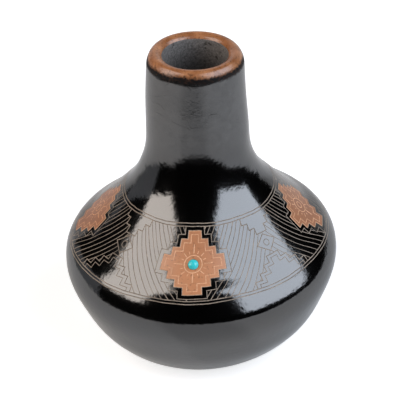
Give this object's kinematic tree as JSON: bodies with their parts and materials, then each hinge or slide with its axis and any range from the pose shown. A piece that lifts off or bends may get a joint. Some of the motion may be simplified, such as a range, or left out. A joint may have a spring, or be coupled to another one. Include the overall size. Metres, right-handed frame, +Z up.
{
  "type": "pueblo pottery jar",
  "caption": "Coil-built black burnished pottery jar with a round body, a tall narrow neck, a rolled sienna lip and a set turquoise stone.",
  "frame": {"origin": "middle of the flat foot, on the surface that the jar stands on", "axes": "+Z up through the mouth, -Y towards the side with the turquoise stone, +X to the right of it; the neck leans slightly towards +X"},
  "size_m": [0.1124, 0.1124, 0.1321],
  "materials": {
    "black_slip": "stone-polished black slip, with incised lines that show tan clay",
    "sienna_slip": "burnished sienna slip",
    "turquoise": "polished stone",
    "adhesive": "set adhesive"
  },
  "bodies": {
    "root": {"base_pancake": "black_slip", "bowl_coil_1": "black_slip", "bowl_coil_2": "black_slip", "waist_coil": "black_slip", "shoulder_coil_1": "black_slip", "shoulder_coil_2": "black_slip", "shoulder_coil_3": "black_slip", "neck_root_coil": "black_slip", "neck_coil_1": "black_slip", "neck_coil_2": "black_slip", "neck_coil_3": "black_slip", "neck_coil_4": "black_slip", "rim_coil": "sienna_slip", "cabochon_bed": "adhesive", "turquoise_cabochon": "turquoise"}
  },
  "joints": []
}
